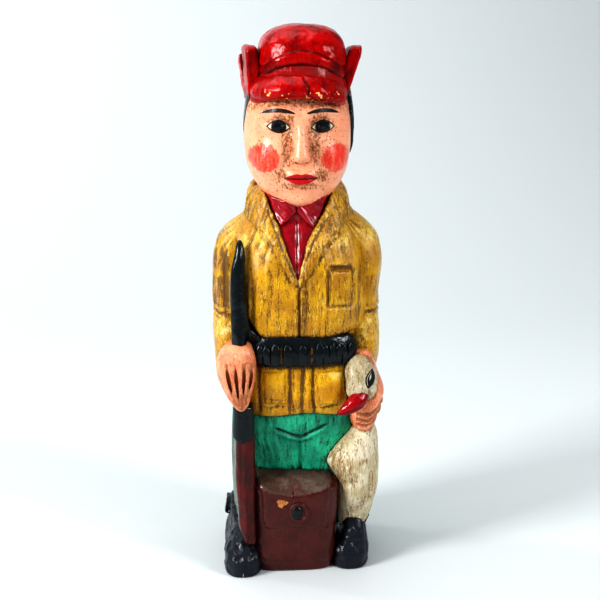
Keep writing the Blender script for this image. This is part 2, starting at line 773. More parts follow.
CAP_PINK = gloss_paint(
    "cap_pink", (0.44, 0.004, 0.006), (0.28, 0.002, 0.004), 58,
    coat=0.4, dust=1.0, dust_colour=(0.60, 0.27, 0.26), dust_where=faded_edge, gloss=0.3,
)
SHIRT_RED = gloss_paint("shirt_red", (0.37, 0.005, 0.017), (0.21, 0.004, 0.015), 59, coat=1.0)
BEAK_RED = gloss_paint("beak_red", (0.36, 0.002, 0.010), (0.18, 0.001, 0.008), 61, coat=0.6)
BLACK = gloss_paint(
    "black_gloss", (0.012, 0.018, 0.021), (0.005, 0.009, 0.011), 67,
    coat=0.65, dust=0.08, dust_colour=(0.04, 0.045, 0.055), worn_colour=(0.19, 0.085, 0.020),
)
BOOT_BLACK = gloss_paint(
    "boot_black", (0.022, 0.026, 0.034), (0.011, 0.014, 0.019), 69,
    coat=0.35, dust=0.3, dust_colour=(0.045, 0.05, 0.065), worn_colour=(0.50, 0.30, 0.05), gloss=0.34,
)
STOCK_BROWN = gloss_paint("stock_brown", (0.115, 0.010, 0.008), (0.036, 0.009, 0.008), 71, coat=0.6)
BAG_BROWN = gloss_paint(
    "bag_brown", (0.102, 0.022, 0.018), (0.074, 0.017, 0.014), 73, coat=0.6,
    dust=0.95, dust_colour=(0.130, 0.100, 0.080), dust_where=lid_dust, worn_colour=(0.36, 0.165, 0.062),
)

# ---- Head, hair and cap -------------------------------------------------------------------------

SKULL = [
    (CHIN - 1, 7, 8, 0, -19),
    (CHIN + 3, 18, 18, 0, -13),
    (CHIN + 10, 27, 28, 0, -7.5),
    (CHIN + 22, 34.5, 35, 0, -3.5),
    (CHIN + 36, 38, 38.5, 0, -1),
    (CHIN + 50, 38.6, 39.5, 0, 0),
    (CHIN + 66, 37.8, 39.2, 0, 0),
    (CAP_FLOOR + 4, 35, 37, 0, 0),
]
EYE_LINE = CHIN + 57
NOSE_FOOT = CHIN + 32.5
MOUTH = NOSE_FOOT - 10.8
EYE_X = 15.4
EYE_HALF = 8.0
LIP_HALF = 12.0


def skull(x, y, z):
    """The plain head and neck, without features."""
    egg = tower(x, y, z, SKULL, 2.15, 5)
    neck = tower(x, y, z, [(CHIN - 18, 23, 22, 0, 2), (CHIN + 16, 22, 24, 0, 3)], 2, 2)
    return smooth_min(egg, neck, 5)


def head(x, y, z):
    field = skull(x, y, z)
    side = np.abs(x)
    # The eye sockets sink under the brow, and the almond eyes swell in them.
    field = smooth_max(field, -ball(side, y, z, (EYE_X, -44, EYE_LINE - 0.5), (11.5, 9.5, 7.5)), 5)
    eye = ball(side, y, z, (EYE_X + 0.3, -30.8, EYE_LINE), (8.6, 6.6, 4.6), (0, 0, -14))
    field = smooth_min(field, eye, 1.2)
    brow = strand(
        side, y, z,
        [(5, -38.4, EYE_LINE + 7.5), (14, -36.5, EYE_LINE + 10), (25, -29, EYE_LINE + 8)],
        [(2.6, 1.4), (2.8, 1.5), (1.6, 1.0)],
    )
    field = smooth_min(field, brow, 6)
    bridge = strand(
        x, y, z,
        [
            (0, -37.5, EYE_LINE + 4),
            (0, -39.5, EYE_LINE - 6),
            (0, -42.5, NOSE_FOOT + 11),
            (0, -45.2, NOSE_FOOT + 4.5),
        ],
        [(3.6, 4), (3.6, 4.5), (4.8, 5), (5.6, 4.6)], FORWARD,
    )
    field = smooth_min(field, bridge, 4)
    wing = ball(side, y, z, (5.4, -40.2, NOSE_FOOT + 3.6), (3.4, 5, 3.6))
    field = smooth_min(field, wing, 2)
    nostril = ball(side, y, z, (3.1, -44.3, NOSE_FOOT - 0.2), (1.5, 2.6, 1.5))
    field = smooth_max(field, -nostril, 1.2)
    cheek = ball(side, y, z, (19.5, -25.5, NOSE_FOOT + 1), (10.5, 9.5, 12))
    field = smooth_min(field, cheek, 8)
    ball_of_chin = ball(x, y, z, (0, -29.5, CHIN + 7), (11.5, 7.5, 7))
    field = smooth_min(field, ball_of_chin, 6)
    mound = ball(x, y, z, (0, -33, MOUTH), (15, 7, 9.5))
    field = smooth_min(field, mound, 6)
    upper = strand(
        side, y, z,
        [(0, -40.4, MOUTH + 2.3), (4, -40.2, MOUTH + 3.0), (12.2, -36, MOUTH + 0.4)],
        [(2.1, 2.2), (2.3, 2.2), (0.7, 0.9)], FORWARD,
    )
    lower = strand(
        side, y, z,
        [(0, -40.0, MOUTH - 2.3), (5, -39.4, MOUTH - 2.1), (11.6, -36, MOUTH + 0.1)],
        [(2.5, 2.3), (2.2, 2.1), (0.7, 0.9)], FORWARD,
    )
    return smooth_min(field, smooth_min(upper, lower, 0.5), 1.6)


def head_detail(x, y, z, normal):
    """Knife facets, the folds beside the mouth and the creases over the lids."""
    facets = noise(x, y, z, (7, 9, 9), 5)
    front = ramp(-y, 10, 24)
    side = np.abs(x)
    fold = scored(side, z, 1.0, (8.5, NOSE_FOOT + 5), (12, NOSE_FOOT - 2), (15.5, MOUTH - 1)) * front
    lid = front * scored(
        side, z, 0.9, (EYE_X - 8.6, EYE_LINE + 0.5), (EYE_X - 4, EYE_LINE + 5.4), (EYE_X + 2, EYE_LINE + 6.2),
        (EYE_X + 8.5, EYE_LINE + 2.6),
    )
    return 0.22 * facets - 0.45 * fold - 0.4 * lid, 0.35 * fold + 0.4 * lid


def painted_face():
    """The head's paint: skin, almond eyes, brows, rouge and lips, each at the head's own landmarks."""
    paint = Paint("face")
    side = paint.x.size()
    front = (paint.y * -1).ramp(12, 20)
    cloud = paint.noise(16, 301, 3)
    fine = paint.noise(0.9, 302, 3)
    brush = paint.noise(2.6, 303, 3, (1, 1, 2.2), 0.6)
    colour = paint.mixed(cloud.ramp(0.35, 0.65), SKIN_LIGHT, SKIN_DEEP)

    # Old stain in the hollows: beside the nose, round the mouth, under the visor and under the jaw.
    def patch(u, w, wide, tall):
        return ((u / wide) ** 2 + (w / tall) ** 2).ramp(1.25, 0.15)

    beside_nose = patch(side - 9.5, paint.z - (EYE_LINE - 8), 5.5, 21)
    socket = patch(side - 12, paint.z - (EYE_LINE + 6), 9, 6)
    mouth_end = patch(side - 14.5, paint.z - (MOUTH + 1.5), 6, 6)
    under_mouth = patch(side - 6, paint.z - (MOUTH - 6), 11, 3)
    under_visor = (paint.z + paint.x * paint.x * 0.004).ramp(VISOR_BOTTOM - 7, VISOR_BOTTOM + 2)
    jaw = (paint.z - side * 0.35).ramp(CHIN + 3, CHIN - 5)
    soil = beside_nose.most(socket * 0.9).most(mouth_end).most(under_mouth * 0.8) * front
    soil = soil.most(under_visor * 0.95).most(jaw * 0.7)
    mottle = paint.noise(1.5, 304, 5, (1, 1, 1.5), 0.68)
    rubbed = (soil * 0.13 + mottle + paint.attribute("stain") * 0.12).ramp(0.58, 0.67)
    faint = (soil * 0.75 + cloud * 0.3).ramp(0.35, 1.0) * 0.28
    colour = paint.mixed(faint, colour, (0.50, 0.20, 0.065))
    colour = paint.mixed(rubbed * 0.8, colour, SKIN_STAIN)
    thick_stain = (soil * 0.13 + mottle).ramp(0.66, 0.74)
    colour = paint.mixed(thick_stain * 0.6, colour, UMBER)

    # Rouge with dry, brushed edges.
    rouge = (((side - 25.5) / 11.0) ** 2 + ((paint.z - (NOSE_FOOT + 2.5)) / 10.5) ** 2).math("SQRT")
    rouge = (rouge + (brush - 0.5) * 0.75 + (fine - 0.5) * 0.2).ramp(1.06, 0.86)
    rouge = rouge * (0.55 + (brush + fine * 0.5).ramp(0.55, 0.85) * 0.35)
    colour = paint.mixed(rouge, colour, (0.72, 0.022, 0.013))
    colour = paint.mixed(rubbed * rouge * 0.6, colour, (0.16, 0.02, 0.012))

    # Lips: a bow above, a fuller curve below, parted by a dark line.
    across = side / LIP_HALF
    edge = 1 - across * across
    upper = edge * 3.7 - (1 - side.ramp(0, 3.5)) * 0.9 - (paint.z - MOUTH)
    lower = edge * 4.3 + (paint.z - MOUTH)
    lips = upper.least(lower).ramp(-0.15, 0.3) * front
    colour = paint.mixed(lips, colour, (0.52, 0.006, 0.012))
    part = (paint.z - MOUTH + 0.35 * edge).size().ramp(0.75, 0.35) * edge.ramp(0, 0.12) * front
    colour = paint.mixed(part, colour, (0.10, 0.004, 0.006))

    # Eyes: an almond, dark-rimmed, with pale corners and a black iris that fills its height.
    u = (side - EYE_X) / EYE_HALF
    lift = (side - EYE_X) * 0.05
    almond = 1 - u * u
    drop = paint.z - EYE_LINE - lift
    above = almond * 4.5 - drop
    below = almond * 3.7 + drop
    inside = above.least(below)
    rim = inside.ramp(-0.75, -0.45) * front
    colour = paint.mixed(rim, colour, (0.010, 0.010, 0.011))
    white = inside.ramp(0.35, 0.65) * front
    colour = paint.mixed(white, colour, (0.66, 0.60, 0.42))
    iris = (((side - EYE_X) / 5.3) ** 2 + (drop / 5.2) ** 2).ramp(1.08, 0.92)
    iris = iris * inside.ramp(-0.7, -0.4) * front
    colour = paint.mixed(iris, colour, (0.008, 0.009, 0.012))

    # Brows and nostrils.
    t = (side - 15.5) / 11.5
    brow_line = paint.z - (EYE_LINE + 9.4) - (1 - t * t) * 2.2
    thick = (1 - t * t).most(0) ** 0.5 * 1.45
    brow = (thick - brow_line.size()).ramp(-0.2, 0.25) * front
    colour = paint.mixed(brow, colour, (0.012, 0.012, 0.015))
    nostril = (((side - 3.2) / 1.3) ** 2 + ((paint.z - (NOSE_FOOT + 0.4)) / 0.8) ** 2).ramp(1.15, 0.8) * front
    colour = paint.mixed(nostril * 0.85, colour, (0.05, 0.02, 0.012))

    # The hair's paint runs a little on to the head behind the temples.
    behind = (paint.y - (CAP_FLOOR - paint.z) * 0.62 + (brush - 0.5) * 2).ramp(-18.2, -17.2)
    colour = paint.mixed(behind * paint.z.ramp(CHIN + 24, CHIN + 30), colour, (0.010, 0.012, 0.017))

    dots = paint.specks(2.3, 305, 0.26) * paint.noise(10, 306, 2).ramp(0.40, 0.60)
    colour = paint.mixed(dots * 0.75, colour, GRIME)
    glossy = iris.most(lips)
    roughness = 0.34 + rubbed * 0.2 - glossy * 0.08 + brow * 0.3 + (cloud - 0.5) * 0.1 + (fine - 0.5) * 0.15
    height = brush * 0.22 + fine * 0.10 - rubbed * 0.12 - dots * 0.1 + glossy * 0.12 + rouge * 0.05
    return paint.finish(colour, roughness, height, 0.3, 0.12, 0.4)


FACE = painted_face()


def hair(x, y, z):
    """A cap of hair over the skull, behind the temples and above the nape."""
    spread = 0.4 + 2.1 * ramp(x, -20, 20)
    egg = tower(x, y, z, [(h, a, b, cx, cy + 1) for h, a, b, cx, cy in SKULL[2:]], 2.15, 3)
    shell = egg - spread
    line = -19 + (CAP_FLOOR - z) * 0.62 - 3.5 * ramp(x, 0, 20)
    behind = (line - y) * 0.86
    nape = (CHIN + 16) - z - 0.25 * (y - 10)
    temple = CHIN + 42 + 12 * ramp(-x, 0, 20) - 2.2 * (y + 6) - z
    return smooth_max(smooth_max(shell, behind, 1.6), smooth_max(nape, temple, 3), 3)


def hair_detail(x, y, z, normal):
    around = np.arctan2(x, y) * 40
    locks = noise(around + 3 * noise(x, y, z, 20, 3), z * 0, z, (2.6, 1, 34), 6)
    return 0.5 * locks, 0


def arched(x, y, z, bow, lift, tilt=0.0):
    """Heights measured as if a part of the cap, bowed up and askew at the front, were level."""
    front = ramp(-y, -8, 26)
    return z + (bow * (x - 1) ** 2 - lift) * front + tilt * x


def cap_crown(x, y, z):
    low = BAND_TOP - 4
    dome = ball(x, y, z, (CROWN_X, 1, low), (31.3, 36.3, CROWN_TOP - low), power=2.75)
    wall = tower(x, y, z, [(low - 8, 29.5, 34.5, CROWN_X, 1), (low + 2, 31, 36, CROWN_X, 1)], 2.6, 1)
    return smooth_min(dome, wall, 2)


def cap_band(x, y, z):
    z = arched(x, y, z, 0.0115, 6.0)
    levels = [
        (BAND_BOTTOM - 1, 29.4, 34.6, CROWN_X, 1),
        (BAND_BOTTOM + 1.5, 31.0, 37.0, CROWN_X, 1),
        (BAND_BOTTOM + 5, 31.8, 38.4, CROWN_X, 1),
        (BAND_BOTTOM + 8.5, 31.2, 38.0, CROWN_X, 1),
        (BAND_TOP - 2, 30.2, 36, CROWN_X, 1),
        (BAND_TOP, 28.5, 33.5, CROWN_X, 1),
    ]
    return tower(x, y, z, levels, 2.6, 1.5)


def cap_base(x, y, z):
    z = arched(x, y, z, 0.006, 1)
    levels = [
        (CAP_FLOOR - 3, 36, 40, 0, 0),
        (CAP_FLOOR + 4, 35.8, 40.5, 0.5, 0.5),
        (CAP_FLOOR + 9, 34.2, 40.2, 1.2, 0.8),
        (BAND_BOTTOM + 2, 32.2, 38.2, CROWN_X - 0.5, 1),
        (BAND_BOTTOM + 8, 30.2, 36.2, CROWN_X - 0.5, 1),
    ]
    return tower(x, y, z, levels, 2.4, 2)


def cap_visor(x, y, z):
    level = arched(x, y, z, 0.0052, 0.8, 0.07)
    low = VISOR_BOTTOM + 3
    levels = [
        (low - 0.5, 33, 45.5, 0.6, 0),
        (low + 2.2, 35.2, 49, 0.6, 0),
        (low + 6, 36.0, 50.4, 0.6, 0),
        (low + 9.5, 35.2, 49.2, 0.6, 0),
        (low + 12.5, 33.4, 46.4, 0.8, 0),
        (low + 16, 31, 42.4, 1.2, 0),
    ]
    field = tower(x, y, level, levels, 2.4, 2.2)
    field = smooth_max(field, y + 19.5 + 0.22 * x, 4)
    return smooth_max(field, -(skull(x, y, z) + 3), 1)


def cap_detail(x, y, z, normal):
    dents = noise(x, y, z, (8, 8, 6), 12)
    small = noise(x, y, z, (3, 3, 2.6), 13)
    return 0.42 * dents + 0.2 * small, 0


def ear_flap_detail(side):
    """The cap's dents, with stain on the flap's inner face and behind it."""

    def detail(x, y, z, normal):
        height, stain = cap_detail(x, y, z, normal)
        inner = np.clip(-side * normal[:, 0], 0, 1) * ramp(z, 350, 366)
        behind = np.clip(side * normal[:, 0], 0, 1) * ramp(y, 2, 8)
        return height, stain + 0.75 * inner + 1.5 * behind

    return detail


def visor_detail(x, y, z, normal):
    """Nicks down to the wood along the lower edge, and a crack in the middle."""
    height, stain = cap_detail(x, y, z, normal)
    front = ramp(-y, 30, 36)
    nicks = ramp(noise(x, y, z, 1.9, 15), 0.45, 0.58) * ramp(z, 362, 356) * ramp(-y, 22, 34)
    nicks = nicks * ramp(noise(x, y, z, 9, 16), -0.6, -0.2)
    nicks = nicks + bump(np.hypot(x - 3.2, z - 352.6), 1.3) * front
    scratch = scored(x, z, 0.85, (1.5, 365), (4.6, 360), (4.6, 355.5), (3.2, 353)) * front
    return height - 0.9 * scratch, stain + 1.3 * scratch, nicks


def flap(side, reach_foot, reach_top, tops, thin):
    """One turned-up ear flap: a thick slab that leans out, with a rolled top."""
    foot_z = VISOR_BOTTOM - 1

    def field(x, y, z):
        s = side * x
        share = np.clip((z - foot_z) / (tops - foot_z), 0, 1)
        lean = 0.45 * ramp(z, foot_z, tops) + 0.55 * share
        bulge = 2.2 * ramp(y, -16, 8) - 1.2 * ramp(y, 8, 26)
        outer = reach_foot + (reach_top - reach_foot) * lean + bulge
        thick = thin - 1.0 * share
        slab = np.abs(s - outer + thick) - thick
        top = z - tops + 0.12 * np.maximum(y - 4, 0) + 0.06 * np.maximum(-y - 4, 0)
        bottom = foot_z - z
        front = -y - 15 - 0.02 * (z - foot_z)
        back = y - 24
        rim = smooth_max(smooth_max(top, bottom, 5), smooth_max(front, back, 5), 5)
        return smooth_max(slab, rim, 2.8)

    return field


def neck_flap(x, y, z):
    """The flap turned up behind, hollow towards the cap."""
    levels = [
        (VISOR_BOTTOM - 4, 36.6, 42.5, 0, 2.3),
        (VISOR_BOTTOM + 8, 40.3, 45.3, 0, 2),
        (VISOR_BOTTOM + 24, 42.9, 47, 0.2, 1.8),
        (VISOR_BOTTOM + 31.5, 43.4, 47.4, 0.4, 1.8),
    ]
    field = tower(x, y, z, levels, 2.6, 3)
    field = smooth_max(field, 14.5 - y + 0.1 * (z - 360), 3)
    inner = tower(x, y, z, [(BAND_BOTTOM - 5, 33, 36, 1, 1), (BAND_TOP + 9, 36, 39.8, 1, 1)], 2.5, 0.5)
    hollow = smooth_max(inner, BAND_BOTTOM - 4 - z, 1)
    return smooth_max(field, -hollow, 2.5)


def neck_flap_detail(x, y, z, normal):
    height, stain = cap_detail(x, y, z, normal)
    gap = np.minimum(np.abs(ear_flap_right(x, y, z)), np.abs(ear_flap_left(x, y, z)))
    return height, stain + 1.5 * bump(gap, 2.8) * ramp(-normal[:, 1], 0.1, 0.5)


# ---- Jacket, shirt and belt ---------------------------------------------------------------------

SLEEVE = [
    (149, 9, 15, 50.6, -16),
    (158, 11.5, 20, 50.3, -13),
    (168, 12.8, 23.5, 50, -9),
    (180, 12.9, 25.2, 50.2, -5),
    (188, 12.2, 25.2, 50.2, -2),
    (196, 12.6, 25.5, 50.3, 0),
    (215, 13, 25.5, 49.8, 1.5),
    (240, 13, 24, 48.2, 3),
    (252, 11.6, 20.8, 44.6, 3.5),
    (260, 8.2, 15.5, 39.2, 4),
    (266, 4, 9, 36, 4),
]
TORSO = [
    (156, 46, 41, 0, 0),
    (172, 47, 42.5, 0, 0),
    (182, 48.5, 44.8, 0, 0),
    (192, 49, 45.8, 0, 0),
    (212, 49, 46, 0, 0),
    (232, 48, 44.5, 0, 0),
    (246, 45, 41, 0, 0.5),
    (256, 40, 37, 0, 1),
    (264, 34, 33, 0, 2),
    (272, 27, 29, 0, 2.5),
]
SKIRT = [
    (HEM - 1, 50.3, 43.6, 0, 0),
    (HEM + 5, 51, 44.8, 0, 0),
    (HEM + 20, 50.8, 44.8, 0, 0),
    (HEM + 34, 48.6, 43.6, 0, 0),
    (HEM + 42, 46.5, 42, 0, 0),
]


def sleeve_left(x, y, z):
    """The left arm is held in a little below the shoulder."""
    return tower(x + 2.8 * ramp(z, 226, 204), y, z, SLEEVE, 2.35, 4)


def sleeve_right(x, y, z):
    """The right shoulder drops a little lower than the left."""
    return tower(3.4 * ramp(z, 243, 262) - x, y, z, SLEEVE, 2.35, 4)


def torso_front(x, y, z):
    """The jacket's front as it would be without its neck opening."""
    arms = np.minimum(sleeve_left(x, y, z), sleeve_right(x, y, z))
    below = ramp(z, 256, 236) * 5.5
    return smooth_min(tower(x, y, z, TORSO, 2.9, 4), arms + 0.4 + below, 9)


def relief(surface, plan, rounding, back, k):
    """A surface kept only inside its plan and in front of the plane where back is 0."""
    return smooth_max(smooth_max(surface, plan, rounding), back, k)


BACK_WAIST = 180


def waist_line(x):
    """The height of the jacket's edge over the belt: it rises where the rifle crosses it."""
    return 179.5 + 15 * ramp(-x, 25, 43) + 3 * ramp(x, 20, 40)


def jacket_torso(x, y, z):
    edge = np.where(y < 0, waist_line(x), BACK_WAIST) - z
    skin = smooth_max(torso_front(x, y, z), edge, 4)
    opening = smooth_max(outline(x, z, NECK_OPENING) - 0.8, y + 12, 1)
    skin = smooth_max(skin, -opening, 1)
    core = tower(x, y, z, [(160, 44, 40, 0, 0), (190, 45, 42, 0, 0)], 2.9, 2)
    return np.minimum(skin, core)


POCKET_RIM = [
    (20.5, 233), (36.8, 231.6), (38.6, 229), (38.8, 204), (36.6, 201.6), (20, 202), (17.8, 204.4), (18, 230),
]
POCKET_PANEL = [(21, 229.8), (36.4, 228.5), (36.2, 206), (34, 204), (22.6, 204), (20.4, 206.4)]


def jacket_detail(x, y, z, normal):
    """Gouge cuts, the middle seam, the lapels' edges, folds over the chest and the pocket's rim and slit."""
    cut = gouges(x, y, z, 3.6, 42, 31)
    front = ramp(-y, 22, 34)
    middle = scored(x, z, 1.4, (-1.6, 220), (-1.2, 200), (-1.6, 178)) * front
    lapel = scored(x, z, 1.3, (-32, 259), (-23.6, 249), (-16.5, 237), (-8, 222))
    lapel += scored(x, z, 1.3, (34, 259), (26, 252.5), (17.8, 244.5), (6, 226))
    lapel = lapel * (0.45 + 0.55 * ramp(noise(x, y, z, 6, 40), -0.5, 0.3))
    folds = scored(x, z, 2.2, (40, 250), (30, 244), (18, 232), (6, 214)) * 0.5
    folds += scored(x, z, 2.2, (-36, 252), (-28, 240), (-20, 226), (-15, 208)) * 0.5
    chest = ramp(-y, 18, 26)
    pocket = outline(x, z, POCKET_RIM)
    patchy = ramp(noise(x, y, z, 5, 38), -0.7, 0.3)
    rim = bump(pocket + 1.3, 1.3) * chest * (0.55 + 0.45 * patchy)
    lip = bump(pocket - 0.9, 1.1) * chest
    slit = bump(z - 232 + 0.07 * (x - 20), 1.7) * ramp(x, 19.5, 22.5) * ramp(x, 37, 34) * chest
    arm_crease = bump(np.abs(x) - 42.5 - 0.06 * (z - 215), 1.8) * ramp(z, 244, 234) * front
    height = 1.0 * cut - 1.5 * middle - 0.6 * lapel * front - 0.5 * folds * front
    height = height - 1.1 * rim + 0.6 * lip - 1.2 * slit - 0.4 * arm_crease + 0.4 * noise(x, y, z, 15, 32)
    stain = 0.5 * beds(cut) + 0.95 * middle + 0.55 * lapel * front + 0.35 * folds * front
    pale = 0.45 * bump(z - 250, 9) * ramp(noise(x, y, z, 8, 37), -0.4, 0.5) * ramp(np.abs(x), 18, 30)
    return height, stain + 0.5 * rim + 1.1 * slit + 0.5 * arm_crease, pale


def sleeve_detail(side):
    """Gouge cuts, creases at the elbow and a paler forearm."""

    def detail(x, y, z, normal):
        cut = gouges(x, y, z, 3.6, 40, 35 + side)
        s = side * x
        wander = 0.9 * noise(x, y, z, 5, 8)
        crease = bump(z - 194.5 - 0.12 * (y + 18) - wander, 1.1) * ramp(s, 38, 46)
        second = bump(z - 190.5 + 0.05 * y + wander, 0.9) * ramp(s, 42, 52) * ramp(-y, -14, 8)
        third = bump(z - 199 - 0.1 * (s - 50) - wander, 0.8) * ramp(s, 46, 54) * ramp(-y, -6, 12)
        # Only the right sleeve has the long fold and the brown stain behind it.
        long_fold = bump(s - 53.8 - 0.03 * (z - 215), 2.6) * ramp(z, 190, 204) * ramp(z, 243, 232)
        long_fold = long_fold * ramp(-y, 2, 14) * (side < 0)
        creases = 1.7 * crease + 0.5 * second + 0.4 * third
        blotch = noise(x, y, z, 7, 39)
        pale = 0.3 * ramp(z, 166, 175) * ramp(z, 193, 188) * ramp(-y, -20, 5)
        pale = pale + 0.5 * bump(z - 252, 8) * ramp(-y, -20, 0) * ramp(blotch, -0.5, 0.4)
        height = 0.95 * cut - creases - 1.5 * long_fold + 0.5 * noise(x, y, z, 13, 33)
        stain = 0.5 * beds(cut) + 0.8 * crease + 0.3 * second + 0.25 * third + 1.2 * long_fold
        stain = stain + 0.6 * ramp(s, 49, 56) * ramp(z, 194, 204) * ramp(blotch, -0.7, 0.2) * (side < 0)
        return height, stain, pale

    return detail


COLLAR_PATH = [
    (0, 31, 279),
    (14, 29.5, 279),
    (26, 22, 279),
    (32.0, 8, 275.5),
    (32.0, -8, 270.5),
    (28, -21.5, 264),
    (21.5, -31, 255),
    (15, -37, 246),
]
COLLAR_HALVES = [
    (10.5, 4.2), (10.5, 4.2), (10.4, 4.4), (9.4, 4.6), (8.8, 4.8), (7.8, 4.2), (5.4, 2.8), (2.5, 1),
]
COLLAR_CONE = [
    (250, 41, 37.5, 0, 0.5),
    (258, 40.6, 36.6, 0, 0),
    (266, 38.8, 34.2, 0, 0),
    (273, 36.8, 31.8, 0, 0),
    (280, 33.8, 29, 0, 0),
    (286, 28.5, 25, 0, 0),
]
# The neck opening's two edges meet at its point, and each lapel goes on from its own edge.
OPENING_POINT = (-2.2, 223.4)
RIGHT_EDGE = [(-21, 274.7), (-14.6, 258.4), (-8.8, 241.4), OPENING_POINT]
LEFT_EDGE = [(22.7, 281), (13.3, 264.3), (5.6, 252), (0.7, 237), OPENING_POINT]
NECK_OPENING = [(-34, 306), (-25.1, 284), *RIGHT_EDGE, *LEFT_EDGE[-2::-1], (32, 306)]
RIGHT_LAPEL = [
    (-25, 290), (-25, 284), *RIGHT_EDGE, (-3.4, 217.5), (-9.5, 227), (-15.5, 237), (-22.5, 250), (-31, 260),
    (-48, 266), (-48, 290),
]
LEFT_LAPEL = [
    (23, 290), *LEFT_EDGE, (-1.6, 219), (4.8, 226.5), (9.4, 234), (17, 245.8), (25, 254), (33, 260),
    (48, 266), (48, 290),
]


def collar(x, y, z):
    """The standing collar, running into two lapels that lie on the chest."""
    standing = strand(np.abs(x), y, z, COLLAR_PATH, COLLAR_HALVES, steps=4, blend=0.8)
    lapels = np.minimum(outline(x, z, RIGHT_LAPEL), outline(x, z, LEFT_LAPEL)) + 0.5 * np.sin(z * 0.33)
    over = smooth_min(torso_front(x, y, z) - 2.1, tower(x, y, z, COLLAR_CONE, 2.25, 2.5), 3)
    band = relief(over, lapels, 3.2, y - 4, 3)
    field = smooth_min(standing, band, 3)
    opening = smooth_max(outline(x, z, NECK_OPENING), y + 8, 1)
    return smooth_max(field, -opening, 1.5)


def collar_detail(x, y, z, normal):
    front = ramp(-y, -2, 10)
    fold = scored(x, z, 0.7, (-23, 271), (-17.6, 257), (-11.6, 241), (-5, 226))
    fold += scored(x, z, 0.7, (17.5, 263.5), (9, 250.5), (3.6, 238))
    cut = gouges(x, y, z, 3.4, 30, 71)
    height = 0.7 * cut - 0.8 * fold * front + 0.4 * noise(x, y, z, 10, 72)
    return height, 0.6 * beds(cut) + 0.75 * fold * front + 0.25


def shirt(x, y, z):
    """The shirt in the neck opening, with the neck that fills its top."""
    neck = tower(x, y, z, [(244, 22, 30, -2, -3), (262, 24, 29.5, -1, -2.5), (286, 25, 29, 0, -2)], 2.2, 2)
    field = smooth_min(torso_front(x, y, z) + 1.0, neck, 4)
    return relief(field, outline(x, z, NECK_OPENING) - 2.5, 1, y + 14, 2)


def shirt_detail(x, y, z, normal):
    middle = -2.9 + 0.022 * (z - 240)
    low = ramp(z, 268, 261)
    fold = bump(x - middle, 0.75) * low
    ridge = bump(x - middle - 1.9, 1.1) * low
    return -0.9 * fold + 0.55 * ridge + 0.5 * noise(x, y, z, (5, 5, 9), 81), 0.85 * fold


RIGHT_WING = [(-25, 283), (-3.4, 276), (-2.8, 270.5), (-7, 266.5), (-13.9, 260.8), (-17.5, 266)]
LEFT_WING = [(21.5, 283), (-2.2, 276), (-2.4, 270.5), (2, 265.5), (8.9, 259.6), (14, 267)]


def shirt_collar(x, y, z):
    wings = np.minimum(outline(x, z, RIGHT_WING), outline(x, z, LEFT_WING))
    puff = 2.6 + 0.6 * bump(np.abs(x + 2.6) - 6.5, 4)
    return relief(shirt(x, y, z) - puff, wings, 1.8, y + 16, 1)


def wing_detail(x, y, z, normal):
    creases = noise(x * 0.8 + z * 0.6, y, z * 0.3, (2.6, 5, 5), 83)
    return 0.75 * creases, 0.35 * np.clip(-creases, 0, 1)


def belt(x, y, z):
    """A ring round the waist with a ragged end where the goose's hand begins."""
    low, high = BELT_BOTTOM - 1.8, BELT_TOP - 0.5
    levels = [
        (low, 47.6, 44, 0, 0),
        (low + 3.5, 50, 46.4, 0, 0),
        (high - 5, 49.6, 46.4, 0, 0),
        (high, 48.2, 44.5, 0, 0),
    ]
    ring = tower(x, y, z, levels, 2.9, 2.5)
    hollow = tower(x, y, z, [(BELT_BOTTOM - 9, 44, 40, 0, 0), (BELT_TOP + 9, 44, 40, 0, 0)], 2.9, 2.5)
    ragged = x - 41.5 + 0.045 * (z - 170) ** 2 - 0.8 * np.sin(z * 1.1)
    ring = np.where((y < -8) & (x > 20), smooth_max(ring, ragged, 2), ring)
    return smooth_max(ring, -hollow, 1)


# Each cartridge loop's middle and half width.
LOOPS = [
    (-35.2, 1.9), (-30.6, 2.2), (-25.4, 2.6), (-19.2, 3.1), (-10.2, 3.0), (0.9, 2.9),
    (12.6, 2.6), (17.6, 2.2), (22.3, 2.2), (27.0, 2.2), (31.6, 2.0), (35.8, 1.8),
]
SLITS = [-14.7, 7.2]


def belt_detail(x, y, z, normal):
    front = ramp(-y, 22, 34)
    slit = sum(bump(x - at, 1.25) for at in SLITS) * ramp(z, 160, 163) * ramp(z, 177, 173) * front
    height = 0.25 * noise(x, y, z, (6, 6, 6), 91) - 0.9 * slit
    return height, 0, 1.5 * slit * ramp(noise(x, y, z, 2.5, 93), -0.9, 0.0)


def belt_cartridges(x, y, z):
    """A row of upright loops that stand out from the belt."""
    surface = belt(x, y, z)
    field = None
    for number, (at, half) in enumerate(LOOPS):
        lean = math.sin(number * 2.4)
        top = 177.2 + 0.8 * lean - 0.0016 * at * at
        arch = half * 2.0
        past = np.maximum(z - top + arch, 0) / arch + np.maximum(161.5 - z, 0) / 2.4
        plan = np.hypot((x - at - 0.05 * lean * (z - 168)) / half, past)
        one = smooth_max((plan - 1) * half, surface - 1.9 - 0.25 * half, 0.6)
        field = one if field is None else np.minimum(field, one)
    return smooth_max(field, y + 20, 1)


def jacket_skirt(x, y, z):
    wave = 1.1 * np.sin(x * 0.115 + 1.1) * ramp(-y, 10, 30)
    return tower(x, y, z - wave * ramp(z, HEM + 14, HEM), SKIRT, 3.1, 3)


